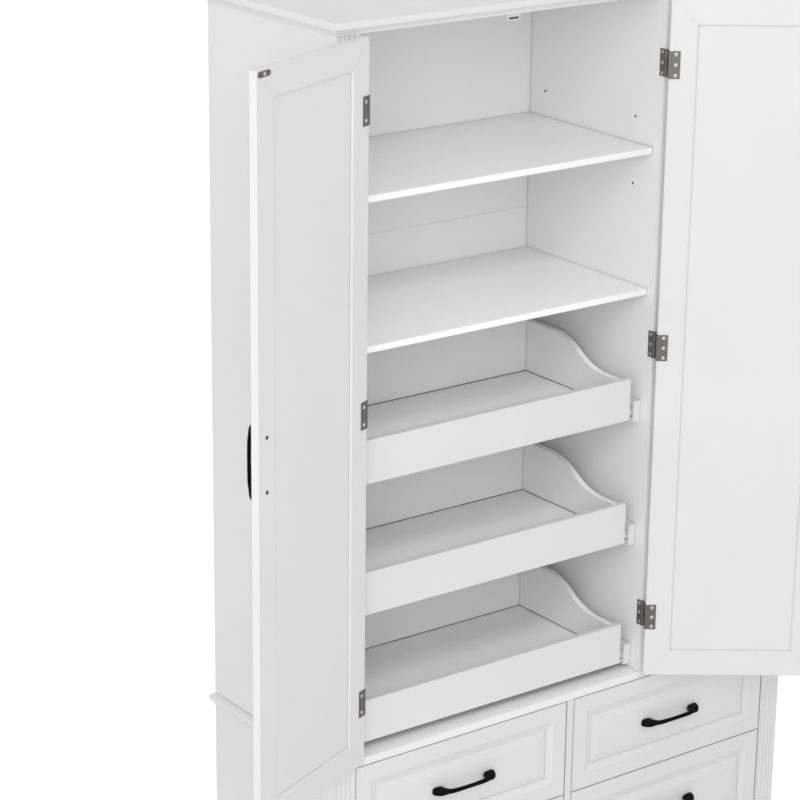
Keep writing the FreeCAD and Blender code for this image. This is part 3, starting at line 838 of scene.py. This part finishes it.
def makeFloor():
    reach = studio["floorReach"]
    deselectAll()
    bpy.ops.mesh.primitive_plane_add(size=2 * reach, location=(0, 0, -studio["floorDrop"]))
    floor = bpy.context.object
    applyPlace(floor)
    floor.name = "studioFloor"
    material, tree, shader = newMaterial("paleFloor", 0, studio["floorRoughness"])
    shader.inputs["Base Color"].default_value = studio["floorColour"]
    shader.inputs["Specular IOR Level"].default_value = 0
    glow = addNode(tree, "ShaderNodeEmission", Strength=studio["floorGlow"])
    added = addNode(tree, "ShaderNodeAddShader")
    chosen = addNode(tree, "ShaderNodeMixShader")
    path = addNode(tree, "ShaderNodeLightPath")
    output = tree.nodes["Material Output"]
    tree.links.new(shader.outputs["BSDF"], added.inputs[0])
    tree.links.new(glow.outputs["Emission"], added.inputs[1])
    tree.links.new(path.outputs["Is Camera Ray"], chosen.inputs["Fac"])
    tree.links.new(shader.outputs["BSDF"], chosen.inputs[1])
    tree.links.new(added.outputs["Shader"], chosen.inputs[2])
    tree.links.new(chosen.outputs["Shader"], output.inputs["Surface"])
    floor.data.materials.append(material)


def makeWorld():
    world = bpy.data.worlds.new("studioWorld")
    bpy.context.scene.world = world
    world.use_nodes = True
    tree = world.node_tree
    background = tree.nodes["Background"]
    background.inputs["Color"].default_value = (1, 1, 1, 1)
    path = addNode(tree, "ShaderNodeLightPath")
    direct = addNode(tree, "ShaderNodeMath", {"operation": "MAXIMUM"})
    clear = addNode(tree, "ShaderNodeMath", {"operation": "MAXIMUM"})
    strength = addNode(tree, "ShaderNodeMapRange")
    strength.inputs[3].default_value = studio["world"]
    strength.inputs[4].default_value = 1.0
    tree.links.new(path.outputs["Is Camera Ray"], direct.inputs[0])
    tree.links.new(path.outputs["Is Glossy Ray"], direct.inputs[1])
    tree.links.new(direct.outputs[0], clear.inputs[0])
    tree.links.new(path.outputs["Is Transmission Ray"], clear.inputs[1])
    tree.links.new(clear.outputs[0], strength.inputs[0])
    tree.links.new(strength.outputs[0], background.inputs["Strength"])


def makeLamp(name):
    plan = studio[name]
    data = bpy.data.lights.new(name + "Light", plan["kind"])
    data.energy = plan["power"]
    if plan["kind"] == "AREA":
        data.shape = "SQUARE"
        data.size = plan["size"]
    else:
        data.shadow_soft_size = plan["size"]
        data.spot_size = math.radians(plan["cone"])
        data.spot_blend = plan["blend"]
    lamp = bpy.data.objects.new(name + "Light", data)
    bpy.context.collection.objects.link(lamp)
    lamp.location = plan["place"]
    lamp.rotation_euler = (Vector(plan["aim"]) - lamp.location).to_track_quat("-Z", "Y").to_euler()
    if "lights" in plan:
        lit = bpy.data.collections.new(name + "Pieces")
        for node in plan["lights"]:
            lit.objects.link(nodes[node])
        lamp.light_linking.receiver_collection = lit


view = {"place": (-3.1461, -3.8517, 2.7189), "azimuth": -36.722, "elevation": 18.557,
        "roll": -0.673, "lens": 122.66, "sensor": 36.0, "farthest": 60}


def makeCamera():
    azimuth, elevation = math.radians(view["azimuth"]), math.radians(view["elevation"])
    roll = math.radians(view["roll"])
    back = Vector((math.sin(azimuth) * math.cos(elevation),
                   -math.cos(azimuth) * math.cos(elevation), math.sin(elevation)))
    level = (-back).cross(Vector((0, 0, 1))).normalized()
    down = (-back).cross(level)
    right = math.cos(roll) * level + math.sin(roll) * down
    down = -math.sin(roll) * level + math.cos(roll) * down
    data = bpy.data.cameras.new("photoCamera")
    data.lens = view["lens"]
    data.sensor_width = view["sensor"]
    data.clip_end = view["farthest"]
    camera = bpy.data.objects.new("photoCamera", data)
    bpy.context.collection.objects.link(camera)
    turn = Matrix((right, -down, back)).transposed().to_4x4()
    camera.matrix_world = Matrix.Translation(Vector(view["place"])) @ turn
    bpy.context.scene.camera = camera


makeFloor()
makeWorld()
for lampName in ("side", "front", "inside"):
    makeLamp(lampName)
makeCamera()
bpy.context.scene.view_settings.view_transform = "Standard"
print("stage set")
